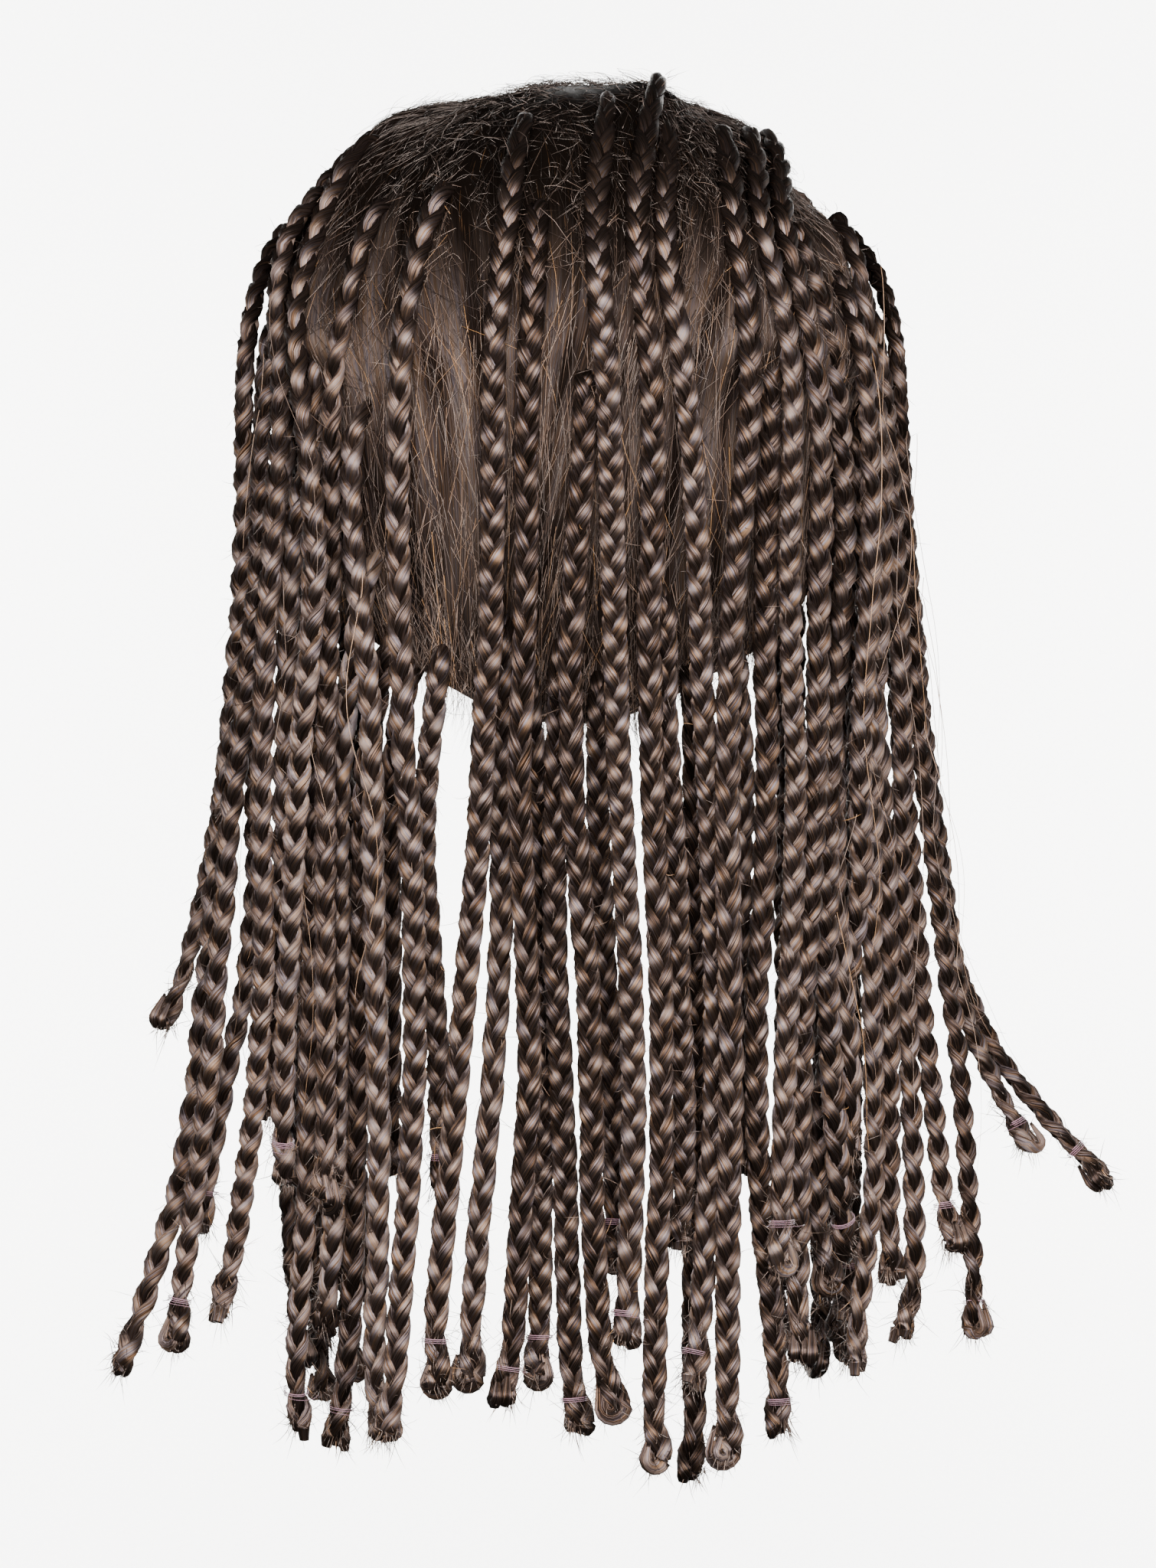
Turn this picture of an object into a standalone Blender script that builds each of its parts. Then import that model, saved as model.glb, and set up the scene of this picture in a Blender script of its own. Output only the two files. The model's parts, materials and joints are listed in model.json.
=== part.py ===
"""A long box-braid wig in the form that it has when worn: a hollow net cap, the combed base hair over it,
and separate three-strand braids with folded and bound ends. +Z is up and the wearer faces +Y, so the
back of the wig faces -Y. The origin is where the inside of the crown sits on the head."""

import math
from collections import namedtuple

import bmesh
import bpy
import numpy as np
from mathutils import Vector
from mathutils.bvhtree import BVHTree

MM = 0.001

# The head form: an ellipsoid above its widest level, and a longer one below it.
HALF_BREADTH = 76 * MM
HALF_LENGTH = 97 * MM
CROWN_RISE = 88 * MM
NAPE_FALL = 150 * MM

# The two shells over it. The rim runs lower at the back than at the forehead.
CAP_WALL = 2 * MM
HAIR_DEPTH = 7 * MM
HAIR_RIM_DEPTH = 3 * MM
GAP = 0.3 * MM
RIM_MEAN_DROP = 125 * MM
RIM_SLOPE = 62 * MM
RIM_THINNING = 5
SHELL_COLUMNS = 28
SHELL_RINGS = 10

# A braid's section is a flat hexagon, with its flat side facing out.
BRAID_SIDES = 6
BRAID_HALF_WIDTH = 4.1 * MM
BRAID_HALF_DEPTH = 3.5 * MM
FLAT_SHARE = math.sin(math.pi / 3)
ROOT_SCALE = 0.75
NECK_SCALE = 0.85
BULB_SCALE = 1.2
TIP_SCALE = 0.9
NECK_BEFORE_TIP = 15 * MM
BULB_BEFORE_TIP = 9 * MM
TIP_BEFORE_END = 2.5 * MM
PLAIN_RINGS = 12
CROWN_CROWDING = 2.2

# A braid that hangs free turns its flat side to the back, over this much of its depth and of its drop.
TURN_TO_BACK = 0.8
TURN_SPAN = 60 * MM

# Heights are given as a drop below the top of the hair.
HAIR_TOP = 12 * MM
DROPS = (50, 80, 110, 145, 180, 215, 250, 285, 320, 355, 390)
WIDEST_DROP = 100
CROWDED_ABOVE = 120
INWARD_LEAN = 0.05
LEAN_SPAN = 150
FULL_SIDE = 0.97

# The route between those points is drawn as a smooth line with this many steps in each span.
LINE_STEPS = 24
DEEPEST_INSIDE = 0.2

# Each braid: the azimuth of its root round from the back in degrees, the root's drop in mm, its layer over
# the base hair, the y in mm where it hangs (None where it lies on the back), its girth, then its x in mm
# at every one of DROPS between root and tip, and the x and drop of its tip.
Braid = namedtuple("Braid", "azimuth root_drop layer hang_y girth xs tip_x tip_drop")

BRAIDS = {
    "back": (
        Braid(-31, 31, 0, None, 1.0, (-43, -49, -51, -51, -51, -49, -46, -46, -47, -49, -52), -54, 412),
        Braid(-16, 12, 0, None, 1.0, (-18, -22, -23, -22, -24, -27, -28, -31, -35, -39, -40), -40, 397),
        Braid(-8, 37, 0, None, 1.0, (-10, -11, -13, -13, -13, -16, -13, -13, -12, -15, -18), -19, 400),
        Braid(3, 88, 0, None, 1.0, (5, 2, 0, 0, 3, 6, 6, 7, 10), 13, 403),
        Braid(24, 6, 0, None, 1.0, (7, 8, 11, 12, 13, 15, 16, 19, 20, 18), 15, 382),
        Braid(80, 5, 0, None, 1.0, (19, 22, 25, 24, 23, 23, 25, 27, 25, 26, 24), 25, 419),
        Braid(44, 11, 0, None, 1.0, (27, 31, 35, 38, 39, 40, 42, 44, 42, 42, 36), 36, 393),
        Braid(52, 21, 1, None, 1.0, (48, 53, 53, 50, 46, 46, 47, 47, 47, 47, 46), 46, 417),
        Braid(47, 46, 0, None, 0.95, (54, 59, 60, 58, 58, 59, 58, 55, 55, 58, 62), 63, 411),
        Braid(68, 21, 1, None, 1.0, (56, 64, 66, 65, 64, 68, 67, 64, 63, 63), 63, 362),
        Braid(85, 22, 1, None, 1.0, (63, 71, 75, 75, 73, 74, 72, 69, 68, 68), 68, 389),
        Braid(66, 42, 0, None, 0.95, (67, 78, 81, 83, 79, 77, 77, 78, 79, 83), 84, 357),
    ),
    "left": (
        Braid(-98, 52, 2, -18, 1.0, (-91, -98, -100, -101, -105, -109, -112, -116, -122, -136), -138, 396),
        Braid(-108, 66, 1, 2, 0.95, (-88, -95, -98, -102, -107, -112, -122), -125, 292),
        Braid(-90, 45, 1, -34, 1.0, (-86, -88, -94, -93, -98, -102, -105, -108, -110, -117), -120, 388),
        Braid(-80, 95, 0, -22, 0.95, (-84, -90, -96, -97, -96, -100, -108), -112, 354),
        Braid(-95, 20, 1, -48, 1.0, (-83, -87, -87, -89, -91, -93, -91, -93, -94, -101), -105, 377),
        Braid(-62, 112, 0, -50, 0.95, (-85, -86, -87, -88, -89), -90, 318),
        Braid(-80, 22, 1, None, 1.0, (-78, -82, -79, -75, -78, -81, -84, -86, -87), -87, 338),
        Braid(-66, 27, 0, None, 1.0, (-74, -76, -76, -78, -78, -78, -78, -79, -79, -78, -81), -83, 413),
        Braid(-52, 34, 0, None, 1.0, (-61, -68, -73, -73, -73, -73, -73, -73, -73), -73, 344),
        Braid(-47, 105, 0, None, 1.0, (-65, -65, -60, -59, -59, -58, -57, -57, -59), -57, 412),
    ),
    "right": (
        Braid(75, 56, 0, -46, 1.0, (87, 90, 91, 89, 86, 86, 80, 75, 76), 78, 370),
        Braid(88, 48, 1, -32, 1.0, (86, 90, 94, 96, 93, 91, 92, 90, 95, 90, 86), 86, 394),
        Braid(98, 60, 1, -18, 1.0, (93, 97, 99, 101, 101, 101, 102, 104, 107), 102, 386),
        Braid(106, 52, 2, -8, 1.0, (94, 101, 102, 106, 107, 111, 117, 121, 123), 124, 386),
        Braid(109, 68, 1, 4, 0.95, (92, 100, 104, 107, 110, 116, 119, 136), 144, 330),
        Braid(100, 84, 0, -12, 0.95, (90, 95, 99, 103, 105, 108, 111, 116), 116, 360),
        Braid(118, 52, 1, 13, 0.8, (89, 96, 102, 106, 110, 114, 121, 145), 168, 341),
        Braid(62, 125, 0, -48, 0.95, (76, 78, 80, 82, 84, 85), 85, 331),
        Braid(78, 106, 0, -26, 0.95, (86, 88, 92, 94, 97, 97, 97, 97), 97, 368),
    ),
    "nape": (
        Braid(-46, 150, 0, None, 0.95, (-66, -70, -69, -70, -70, -71), -75, 382),
        Braid(-43, 172, 0, None, 0.95, (-55, -62, -64, -64, -65, -66, -68), -70, 417),
        Braid(-40, 184, 0, None, 0.9, (-54, -54, -54, -54), -54, 332),
        Braid(-31, 178, 0, None, 0.9, (-38, -43, -43, -40, -39), -39, 338),
        Braid(-15, 168, 0, None, 1.0, (-20, -21, -20, -22, -24, -28, -30), -31, 394),
        Braid(-10, 186, 0, None, 1.0, (-10, -8, -8, -8, -9, -9), -9, 391),
        Braid(-2, 176, 0, None, 1.0, (-3, -4, -5, -4, -2, -1, 0), 2, 409),
        Braid(7, 186, 0, None, 0.9, (8, 9, 11, 13, 13), 13, 360),
        Braid(20, 160, 0, None, 0.95, (28, 29, 32, 32, 34), 33, 355),
        Braid(29, 184, 0, None, 1.0, (37, 37, 37, 37, 37, 37), 37, 424),
        Braid(39, 172, 0, None, 0.85, (49, 52, 51, 51, 50), 50, 333),
    ),
}

# The braids beside the face hang plainly: the root's azimuth and drop, the layer, then x, y and tip drop.
# A row is built on both sides.
FaceBraid = namedtuple("FaceBraid", "azimuth root_drop layer hang_x hang_y tip_drop")
FACE_BRAIDS = (
    FaceBraid(121, 76, 0, 88, 24, 372),
    FaceBraid(129, 56, 0, 86, 35, 398),
    FaceBraid(122, 28, 1, 87, 45, 385),
    FaceBraid(141, 42, 0, 80, 53, 410),
    FaceBraid(142, 19, 1, 79, 64, 392),
    FaceBraid(153, 32, 0, 71, 71, 405),
    FaceBraid(166, 21, 1, 68, 81, 380),
)
RIGHT_SIDE_LONGER = 9
FACE_GIRTH = 0.95
FACE_TIP_INWARD = 3

# The braids are then eased apart, so that they touch and don't cut into each other. One on a higher layer
# lies over the others, and within a layer one that is rooted higher does.
EASING_ROUNDS = 600
LOOK_AGAIN_EVERY = 30
LOOK_DISTANCE = 14 * MM
TOUCH = GAP + 0.12 * MM
HOLD_TO_ROUTE = np.array((0.10, 0.02, 0.10))
FREE_ROUNDS = 300
OVER_SHARE = 0.7
EASING_STEP = 1.5
LAYER_ORDER = 100
SAMPLES_PER_SPAN = 6
SAMPLES_PER_END_SPAN = 2
SAMPLE_REACH = 3.5 * MM

# The finishes: a colour and a roughness.
Finish = namedtuple("Finish", "color roughness")
NET = Finish((0.012, 0.010, 0.009, 1), 0.8)
COMBED = Finish((0.030, 0.017, 0.011, 1), 0.5)
BRAIDED = Finish((0.052, 0.031, 0.022, 1), 0.45)


def clear_scene():
    for thing in list(bpy.data.objects):
        bpy.data.objects.remove(thing, do_unlink=True)


def rise(below, lift):
    """The height of the half ellipsoid, above or below the widest level."""
    return (NAPE_FALL if below else CROWN_RISE) + lift


def head_point(azimuth, fall, lift):
    """The point at an azimuth round from the back and an angle down from the crown, lift off the head."""
    return Vector(
        (
            (HALF_BREADTH + lift) * math.sin(fall) * math.sin(azimuth),
            -(HALF_LENGTH + lift) * math.sin(fall) * math.cos(azimuth),
            -CROWN_RISE + rise(fall > math.pi / 2, lift) * math.cos(fall),
        )
    )


def fall_at(z, lift):
    """The angle down from the crown at a height."""
    below = z < -CROWN_RISE
    return math.acos(max(-1.0, min(1.0, (z + CROWN_RISE) / rise(below, lift))))


def height(drop):
    return HAIR_TOP - drop * MM


def make_object(name, vertices, faces, finish):
    """A mesh object whose faces point out, with a material of its own."""
    mesh = bpy.data.meshes.new(name)
    mesh.from_pydata(vertices, [], faces)
    form = bmesh.new()
    form.from_mesh(mesh)
    bmesh.ops.triangulate(form, faces=form.faces)
    bmesh.ops.recalc_face_normals(form, faces=form.faces)
    form.to_mesh(mesh)
    form.free()
    mesh.shade_smooth()
    made = bpy.data.objects.new(name, mesh)
    bpy.context.scene.collection.objects.link(made)
    material = bpy.data.materials.new(name)
    material.use_nodes = True
    shader = material.node_tree.nodes["Principled BSDF"]
    shader.inputs["Base Color"].default_value = finish.color
    shader.inputs["Roughness"].default_value = finish.roughness
    mesh.materials.append(material)
    return made


def shell(name, inner_lift, depth, rim_depth, finish):
    """A wall over the head form, open below and at the face, that thins towards its rim."""
    vertices = [head_point(0, 0, inner_lift + depth), head_point(0, 0, inner_lift)]
    rows = []
    for ring in range(1, SHELL_RINGS + 1):
        share = ring / SHELL_RINGS
        outer_lift = inner_lift + depth + (rim_depth - depth) * share**RIM_THINNING
        row = []
        for lift in (outer_lift, inner_lift):
            start = len(vertices)
            for column in range(SHELL_COLUMNS):
                azimuth = 2 * math.pi * column / SHELL_COLUMNS
                rim_z = -(RIM_MEAN_DROP + RIM_SLOPE * math.cos(azimuth))
                vertices.append(head_point(azimuth, share * fall_at(rim_z, inner_lift), lift))
            row.append(range(start, start + SHELL_COLUMNS))
        rows.append(row)
    faces = []
    for column in range(SHELL_COLUMNS):
        after = (column + 1) % SHELL_COLUMNS
        for side in (0, 1):
            faces.append((side, rows[0][side][column], rows[0][side][after]))
            for upper, lower in zip(rows, rows[1:]):
                above, below = upper[side], lower[side]
                faces.append((above[column], above[after], below[after], below[column]))
        outer, inner = rows[-1]
        faces.append((outer[column], outer[after], inner[after], inner[column]))
    return make_object(name, vertices, faces, finish)


def on_layer(layer, girth=1.0):
    """How far off the head the middle of a braid lies."""
    thick = BRAID_HALF_DEPTH * FLAT_SHARE
    return CAP_WALL + GAP + HAIR_DEPTH + GAP + thick * girth + layer * (2 * thick + GAP)


def back_y(x, z, layer):
    """The y of a braid that lies on the back of the head form at x and z."""
    lift = on_layer(layer)
    around = math.sin(fall_at(z, lift))
    side = max(-FULL_SIDE, min(FULL_SIDE, x / ((HALF_BREADTH + lift) * around)))
    return -(HALF_LENGTH + lift) * around * math.sqrt(1 - side * side)


def way(braid):
    """The points that a braid runs through, from its root to its tip."""
    lift = on_layer(0, ROOT_SCALE)
    root = head_point(math.radians(braid.azimuth), fall_at(height(braid.root_drop), lift), lift)
    leaves_at = max(WIDEST_DROP, braid.root_drop)
    drops = [drop for drop in DROPS if braid.root_drop < drop < braid.tip_drop]
    stations = list(zip(drops, braid.xs, strict=True)) + [(braid.tip_drop, braid.tip_x)]
    points = [root]
    for drop, x in stations:
        lean = INWARD_LEAN * max(0.0, min(1.0, (drop - WIDEST_DROP) / LEAN_SPAN))
        z = height(min(drop, leaves_at))
        if braid.hang_y is None:
            y = back_y(x * MM, z, braid.layer) * (1 - lean)
        else:
            y = braid.hang_y * MM * math.sin(fall_at(z, on_layer(braid.layer)))
        points.append(Vector((x * MM, y, height(drop))))
    return points


def face_braids(side):
    """The braids beside the face on one side, as rows like those of the table."""
    rows = []
    for number, row in enumerate(FACE_BRAIDS):
        tip_drop = row.tip_drop + (RIGHT_SIDE_LONGER if side > 0 else 0) * (-1) ** number
        drops = [drop for drop in DROPS if row.root_drop < drop < tip_drop]
        xs = []
        for drop in drops:
            around = math.sin(fall_at(height(min(drop, WIDEST_DROP)), on_layer(row.layer)))
            xs.append(side * row.hang_x * around)
        rows.append(
            Braid(
                side * row.azimuth,
                row.root_drop,
                row.layer,
                row.hang_y,
                FACE_GIRTH,
                tuple(xs),
                side * (row.hang_x - FACE_TIP_INWARD),
                tip_drop,
            )
        )
    return rows


def off_head(points, lift):
    """How far out each point lies, where 1 is on the head form grown by lift."""
    grown = HALF_BREADTH + lift, HALF_LENGTH + lift
    z = points[..., 2] + CROWN_RISE
    tall = np.where(z < 0, NAPE_FALL, CROWN_RISE) + lift
    return np.sqrt(
        (points[..., 0] / grown[0]) ** 2 + (points[..., 1] / grown[1]) ** 2 + (z / tall) ** 2
    )


def smooth_line(points, lift):
    """A fine line through the points, lifted to its layer wherever it crosses the head form."""
    ends = [2 * points[0] - points[1]] + points + [2 * points[-1] - points[-2]]
    line = []
    for before, start, end, after in zip(ends, ends[1:], ends[2:], ends[3:]):
        for step in range(LINE_STEPS):
            t = step / LINE_STEPS
            line.append(
                0.5
                * (
                    2 * start
                    + (end - before) * t
                    + (2 * before - 5 * start + 4 * end - after) * t**2
                    + (3 * start - before - 3 * end + after) * t**3
                )
            )
    line = np.array(line + [points[-1]])
    centre = np.array((0, 0, -CROWN_RISE))
    out = off_head(line, lift)
    inside = (out < 1)[:, None]
    pushed = centre + (line - centre) / np.maximum(out, DEEPEST_INSIDE)[:, None]
    return np.where(inside, pushed, line)


def ring_centres(line):
    """The middles of a braid's rings: closer together over the crown, and at the bound end's own places."""
    steps = np.linalg.norm(np.diff(line, axis=0), axis=1)
    length = np.concatenate(([0], np.cumsum(steps)))
    total = length[-1]
    weight = np.where(line[1:, 2] > height(CROWDED_ABOVE), CROWN_CROWDING, 1.0)
    crowd = np.concatenate(([0], np.cumsum(steps * weight)))
    plain_end = np.interp(total - NECK_BEFORE_TIP, length, crowd)
    at = np.interp(np.linspace(0, plain_end, PLAIN_RINGS), crowd, length)
    at = np.concatenate((at, (total - BULB_BEFORE_TIP, total - TIP_BEFORE_END)))
    return np.stack([np.interp(at, length, line[:, axis]) for axis in range(3)], axis=1)


def facing(points):
    """The way that a braid's flat side faces: out from the head, and turned a little to the back."""
    z = np.maximum(points[..., 2] + CROWN_RISE, 0)
    out = np.stack(
        (points[..., 0] / HALF_BREADTH**2, points[..., 1] / HALF_LENGTH**2, z / CROWN_RISE**2), axis=-1
    )
    out /= np.linalg.norm(out, axis=-1, keepdims=True)
    at_back = np.clip((TURN_SPAN / 2 - points[..., 1]) / TURN_SPAN, 0, 1)
    hanging = np.clip((height(WIDEST_DROP) - points[..., 2]) / TURN_SPAN, 0, 1)
    out[..., 1] -= TURN_TO_BACK * at_back * hanging
    return out / np.linalg.norm(out, axis=-1, keepdims=True)


def section_axes(centres, face):
    """Each point's direction along the braid, across its flat side, and out of it."""
    along = np.gradient(centres, axis=-2)
    along /= np.linalg.norm(along, axis=-1, keepdims=True)
    across = np.cross(along, face)
    across /= np.linalg.norm(across, axis=-1, keepdims=True)
    return along, across, np.cross(across, along)


def reach(way_out, across, out, scale):
    """How far a section reaches in a direction."""
    wide = np.abs((way_out * across).sum(-1)) * BRAID_HALF_WIDTH
    deep = np.abs((way_out * out).sum(-1)) * BRAID_HALF_DEPTH * FLAT_SHARE
    return scale * np.maximum(wide, wide / 2 + deep)


def ring_scales():
    """The size of each ring: thin at the root, then even, then the bound neck and the bulb."""
    return np.array([ROOT_SCALE] + [1.0] * (PLAIN_RINGS - 2) + [NECK_SCALE, BULB_SCALE, TIP_SCALE])


def sample_weights():
    """Where the samples lie between the rings of a braid."""
    rings = PLAIN_RINGS + 2
    rows = []
    for ring in range(rings - 1):
        count = SAMPLES_PER_SPAN if ring < PLAIN_RINGS - 1 else SAMPLES_PER_END_SPAN
        for step in range(count):
            row = np.zeros(rings)
            row[ring] = 1 - step / count
            row[ring + 1] = step / count
            rows.append(row)
    rows.append(np.eye(rings)[-1])
    return np.array(rows)


def near_pairs(samples):
    """The samples of different braids that lie near each other."""
    braids, count, _ = samples.shape
    flat = samples.reshape(-1, 3)
    owner = np.repeat(np.arange(braids), count)
    first, second = [], []
    for braid in range(braids - 1):
        mine = flat[owner == braid]
        others = flat[owner > braid]
        apart = ((mine[:, None] - others[None]) ** 2).sum(-1)
        one, two = np.nonzero(apart < LOOK_DISTANCE**2)
        first.append(one + braid * count)
        second.append(two + (braid + 1) * count)
    return np.concatenate(first), np.concatenate(second)


def ease_apart(centres, girths, order):
    """Moves the rings until no braid cuts into another or into the base hair. The roots stay, and of two
    braids that meet, the one that is later in the order moves out over the other."""
    weights = sample_weights()
    scales = np.einsum("mk,k->m", weights, ring_scales())[None] * girths[:, None]
    route = centres.copy()
    shape = (len(centres), len(weights), 3)
    clear = CAP_WALL + GAP + HAIR_DEPTH + TOUCH
    middle = np.array((0, 0, -CROWN_RISE))
    owner_order = np.repeat(order, len(weights))
    for turn in range(EASING_ROUNDS):
        samples = np.einsum("mk,nkc->nmc", weights, centres)
        if turn % LOOK_AGAIN_EVERY == 0:
            first, second = near_pairs(samples)
            axes = section_axes(samples, facing(samples))
            along, across, out = (axis.reshape(-1, 3) for axis in axes)
            run = along[first] + along[second]
            run /= np.linalg.norm(run, axis=1, keepdims=True)
            over = np.sign(owner_order[second] - owner_order[first])[:, None]
            over = OVER_SHARE * over * (out[first] + out[second]) / 2
        flat, size = samples.reshape(-1, 3), scales.reshape(-1)
        apart = flat[second] - flat[first]
        ahead = (apart * run).sum(-1)
        apart -= ahead[:, None] * run
        distance = np.linalg.norm(apart, axis=1)
        direction = apart / distance[:, None]
        need = TOUCH + sum(
            reach(direction, across[one], out[one], size[one]) for one in (first, second)
        )
        short = np.where(np.abs(ahead) < SAMPLE_REACH, np.maximum(need - distance, 0), 0)
        direction = direction + over
        direction /= np.linalg.norm(direction, axis=1, keepdims=True)
        move = direction * (short / 2)[:, None]
        push, hits = np.zeros_like(flat), np.zeros(len(flat))
        np.add.at(push, second, move)
        np.add.at(push, first, -move)
        np.add.at(hits, second, short > 0)
        np.add.at(hits, first, short > 0)
        lift = clear + BRAID_HALF_DEPTH * FLAT_SHARE * size
        outness = off_head(flat, lift)
        under = outness < 1
        push[under] += ((flat - middle) * (1 / outness - 1)[:, None])[under]
        hits[under] += 1
        push, hits = push.reshape(shape), hits.reshape(shape[:2])
        load = np.einsum("mk,nm->nk", weights, hits)[..., None]
        step = np.einsum("mk,nmc->nkc", weights, push) / np.maximum(load, 1e-9)
        step *= EASING_STEP
        if turn < EASING_ROUNDS - FREE_ROUNDS:
            step += HOLD_TO_ROUTE * (route - centres)
        step[:, 0] = 0
        centres = centres + step
    return centres


def braid_mesh(centres, girth, base_hair):
    """The vertices and faces of one braid, closed by a point at its root and one at its end."""
    _, across, out = section_axes(centres, facing(centres))
    vertices = []
    for centre, wide, deep, scale in zip(centres, across, out, ring_scales() * girth):
        for side in range(BRAID_SIDES):
            turn = 2 * math.pi * side / BRAID_SIDES
            wide_part = wide * BRAID_HALF_WIDTH * math.cos(turn)
            deep_part = deep * BRAID_HALF_DEPTH * math.sin(turn)
            vertices.append(centre + (wide_part + deep_part) * scale)
    faces = []
    rings = len(centres)
    for ring in range(rings - 1):
        for side in range(BRAID_SIDES):
            after = (side + 1) % BRAID_SIDES
            here, there = ring * BRAID_SIDES, (ring + 1) * BRAID_SIDES
            faces.append((here + side, here + after, there + after, there + side))
    back = centres[0] - centres[1]
    back_point = Vector(centres[0] + back / np.linalg.norm(back) * BRAID_HALF_WIDTH)
    surface, normal, _, _ = base_hair.find_nearest(back_point)
    root_point = surface + normal * GAP
    end = centres[-1] - centres[-2]
    end_point = centres[-1] + end / np.linalg.norm(end) * TIP_BEFORE_END
    for point, start in ((root_point, 0), (end_point, (rings - 1) * BRAID_SIDES)):
        vertices.append(point)
        for side in range(BRAID_SIDES):
            after = (side + 1) % BRAID_SIDES
            faces.append((len(vertices) - 1, start + side, start + after))
    return vertices, faces


def make_braids(base_hair):
    rows = {f"braid_{zone}": braids for zone, braids in BRAIDS.items()}
    rows["braid_front_left"] = face_braids(-1)
    rows["braid_front_right"] = face_braids(1)
    names, centres, girths, order = [], [], [], []
    for zone, braids in rows.items():
        for number, braid in enumerate(braids, 1):
            names.append(f"{zone}_{number:02d}")
            lift = on_layer(braid.layer, braid.girth)
            centres.append(ring_centres(smooth_line(way(braid), lift)))
            girths.append(braid.girth)
            order.append(braid.layer * LAYER_ORDER - braid.root_drop)
    girths = np.array(girths)
    eased = ease_apart(np.array(centres), girths, np.array(order))
    for name, rings, girth in zip(names, eased, girths):
        vertices, faces = braid_mesh(rings, girth, base_hair)
        make_object(name, vertices, faces, BRAIDED)


def main():
    clear_scene()
    shell("cap", 0, CAP_WALL, CAP_WALL, NET)
    hair = shell("base_hair", CAP_WALL + GAP, HAIR_DEPTH, HAIR_RIM_DEPTH, COMBED)
    surface = BVHTree.FromPolygons(
        [vertex.co for vertex in hair.data.vertices],
        [tuple(face.vertices) for face in hair.data.polygons],
    )
    make_braids(surface)


main()
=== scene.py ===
# %% [markdown]
# # A braid wig, dressed over its solid model
# The solid model gives every braid its place, length and thickness, as plain six-sided bars over a net cap.
# This lesson turns each bar into a real three-strand plait, combs the hair between them, and adds the
# loose hairs, the light and the camera. All sizes are in metres, in the frame of the solid model.

# %% Load the solid model
import json
import math

import bpy
import numpy as np
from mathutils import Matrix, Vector, noise

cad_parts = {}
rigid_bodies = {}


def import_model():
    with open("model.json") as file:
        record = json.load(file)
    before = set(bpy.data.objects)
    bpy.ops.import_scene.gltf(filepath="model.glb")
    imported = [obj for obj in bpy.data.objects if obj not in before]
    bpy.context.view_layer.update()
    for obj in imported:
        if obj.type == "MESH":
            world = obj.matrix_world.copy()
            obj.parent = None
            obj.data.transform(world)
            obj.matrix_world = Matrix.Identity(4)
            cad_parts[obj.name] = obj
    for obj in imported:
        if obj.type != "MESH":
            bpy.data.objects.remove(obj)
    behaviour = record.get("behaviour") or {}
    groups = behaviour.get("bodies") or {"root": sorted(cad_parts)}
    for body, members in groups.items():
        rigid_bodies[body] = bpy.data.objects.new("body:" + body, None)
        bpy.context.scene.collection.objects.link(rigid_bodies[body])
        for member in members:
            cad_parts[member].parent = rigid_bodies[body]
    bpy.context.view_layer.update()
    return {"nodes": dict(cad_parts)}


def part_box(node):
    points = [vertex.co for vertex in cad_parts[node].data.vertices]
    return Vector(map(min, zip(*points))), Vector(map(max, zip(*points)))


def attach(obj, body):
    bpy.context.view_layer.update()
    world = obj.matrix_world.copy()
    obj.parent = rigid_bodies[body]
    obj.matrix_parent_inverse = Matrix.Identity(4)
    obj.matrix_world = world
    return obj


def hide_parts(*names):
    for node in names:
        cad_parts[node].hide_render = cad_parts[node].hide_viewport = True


MM = 0.001
for thing in list(bpy.data.objects):
    bpy.data.objects.remove(thing, do_unlink=True)
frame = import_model()
BRAID_NODES = sorted(name for name in frame["nodes"] if name.startswith("braid_"))

# %% [markdown]
# ## The camera
# The photograph was taken from behind, level with the middle of the hair. A long lens far away keeps the
# braids parallel, as they are there. The frame is worked out from the scale of the photograph: the head's
# middle and the top of the hair are at known pixels, so the middle of the picture has a known place.

# %% Place the camera
PHOTO_WIDTH, PHOTO_HEIGHT = 1510, 2048
PIXEL = 0.23 * MM
HEAD_MIDDLE_PX = 745
HAIR_TOP_PX = 77
HAIR_TOP = 12 * MM
BACK_PLANE = -60 * MM
CAMERA_DISTANCE = 2.4
SENSOR = 36.0

picture_middle = Vector(
    (
        (PHOTO_WIDTH / 2 - HEAD_MIDDLE_PX) * PIXEL,
        BACK_PLANE,
        HAIR_TOP - (PHOTO_HEIGHT / 2 - HAIR_TOP_PX) * PIXEL,
    )
)
bpy.ops.object.camera_add(
    location=picture_middle - Vector((0, CAMERA_DISTANCE, 0)), rotation=(math.radians(90), 0, 0)
)
camera = bpy.context.object
camera.data.sensor_width = SENSOR
camera.data.lens = SENSOR * CAMERA_DISTANCE / (PHOTO_HEIGHT * PIXEL)
bpy.context.scene.camera = camera
print("camera lens", round(camera.data.lens, 1), "mm")

# %% [markdown]
# ## Colours and nodes
# A colour picked on a screen is sRGB, while a shader counts light linearly, so one function turns
# the first into the second. A second small function adds a shader node, sets its values and links what
# feeds it, so that a material reads from top to bottom like a recipe. A third one, for the colour ramp that
# most of them need, makes a recipe shorter still.


# %% Helpers for materials
def linear(hex_colour):
    """An sRGB hex colour as a linear colour with full alpha."""
    channels = [int(hex_colour[place : place + 2], 16) / 255 for place in (1, 3, 5)]
    bent = [c / 12.92 if c <= 0.04045 else ((c + 0.055) / 1.055) ** 2.4 for c in channels]
    return (*bent, 1.0)


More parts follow.
